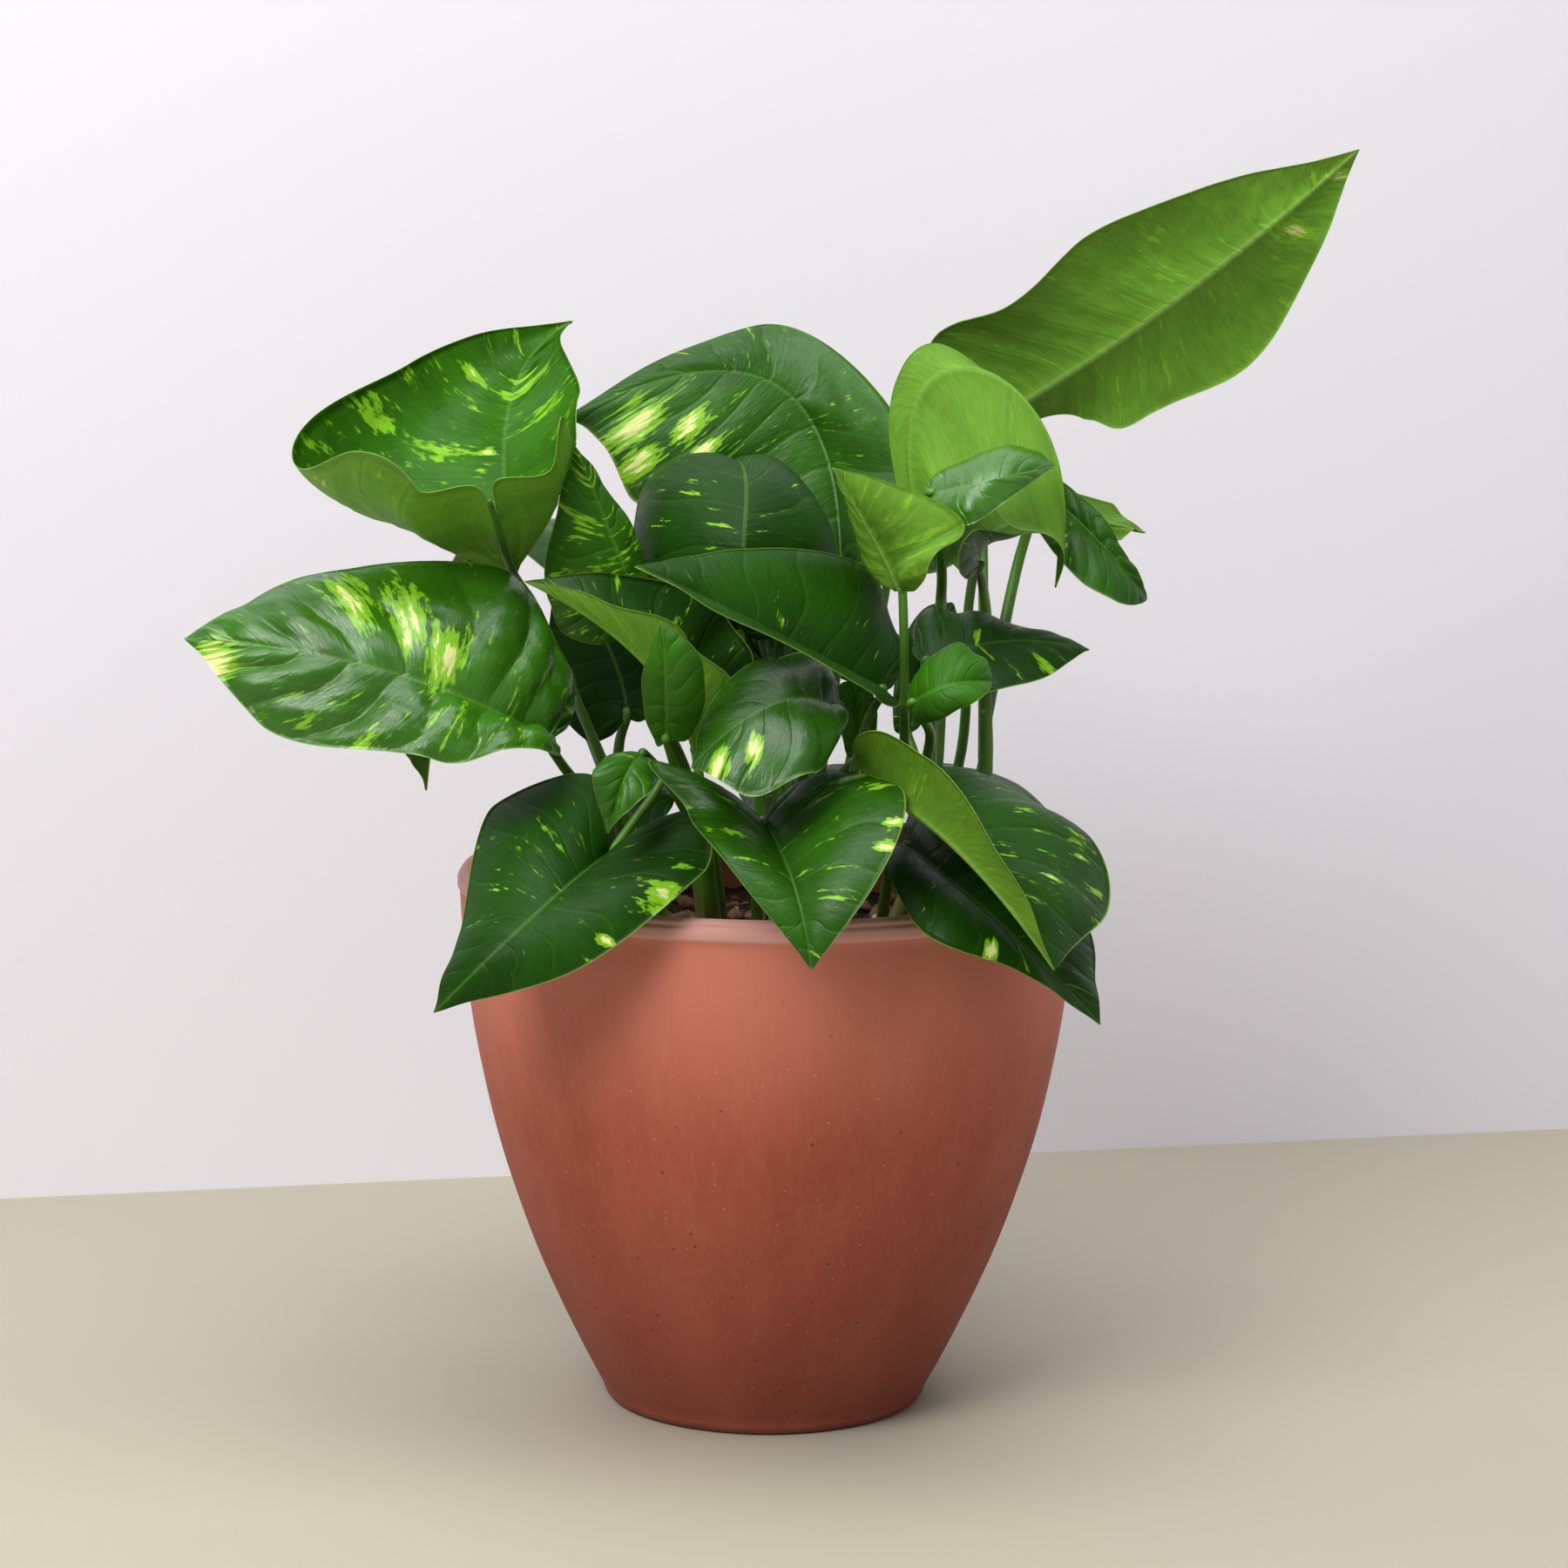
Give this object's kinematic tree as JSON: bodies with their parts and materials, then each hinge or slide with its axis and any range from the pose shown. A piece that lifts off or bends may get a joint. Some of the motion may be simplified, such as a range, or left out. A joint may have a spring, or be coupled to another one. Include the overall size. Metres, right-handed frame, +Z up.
{
  "type": "potted pothos plant",
  "caption": "Variegated pothos with heart-shaped leaves on slim stalks, growing from soil in a round, tapering terracotta-coloured pot that stands on its flat foot.",
  "frame": {"origin": "centre of the pot's flat underside, on the surface it stands on", "axes": "+Z up along the pot's axis, -Y towards the plant's front, +X to the right seen from the front"},
  "size_m": [0.2752, 0.2086, 0.3041],
  "materials": {
    "pot": "matt terracotta-coloured composite, finely brushed",
    "soil": "moist potting mix",
    "leaf": "waxy green leaf with yellow variegation",
    "stalk": "smooth green stalk"
  },
  "bodies": {
    "root": {"leaf_back_centre_mid": "leaf", "leaf_back_high": "leaf", "leaf_back_left_high": "leaf", "leaf_back_left_low": "leaf", "leaf_back_left_mid": "leaf", "leaf_back_right_high": "leaf", "leaf_back_right_low": "leaf", "leaf_back_right_mid": "leaf", "leaf_centre_dome": "leaf", "leaf_centre_long": "leaf", "leaf_front_centre": "leaf", "leaf_front_left": "leaf", "leaf_front_right_fold": "leaf", "leaf_front_right_low": "leaf", "leaf_funnel": "leaf", "leaf_glossy_behind": "leaf", "leaf_glossy_small": "leaf", "leaf_kidney": "leaf", "leaf_left_behind": "leaf", "leaf_left_long": "leaf", "leaf_left_shade": "leaf", "leaf_pale_back": "leaf", "leaf_right_droop": "leaf", "leaf_right_mid": "leaf", "leaf_right_shade": "leaf", "leaf_right_under": "leaf", "leaf_small_behind": "leaf", "leaf_small_folded": "leaf", "leaf_small_front": "leaf", "leaf_small_round": "leaf", "leaf_small_tip_back": "leaf", "leaf_taco": "leaf", "leaf_top_centre": "leaf", "leaf_top_right": "leaf", "leaf_triangle": "leaf", "leaf_upper_left": "leaf", "pot": "pot", "soil": "soil", "stalk_back_high": "stalk", "stalk_back_left_high": "stalk", "stalk_back_right_high": "stalk", "stalk_centre_long": "stalk", "stalk_front_centre": "stalk", "stalk_front_left": "stalk", "stalk_front_right_fold": "stalk", "stalk_front_right_low": "stalk", "stalk_funnel": "stalk", "stalk_pale_back": "stalk", "stalk_top_centre": "stalk", "stalk_top_right": "stalk", "stalk_triangle": "stalk", "stalk_upper_left": "stalk", "vine_back": "stalk", "vine_centre": "stalk", "vine_front": "stalk", "vine_left": "stalk", "vine_right": "stalk", "vine_right_top": "stalk"}
  },
  "joints": []
}
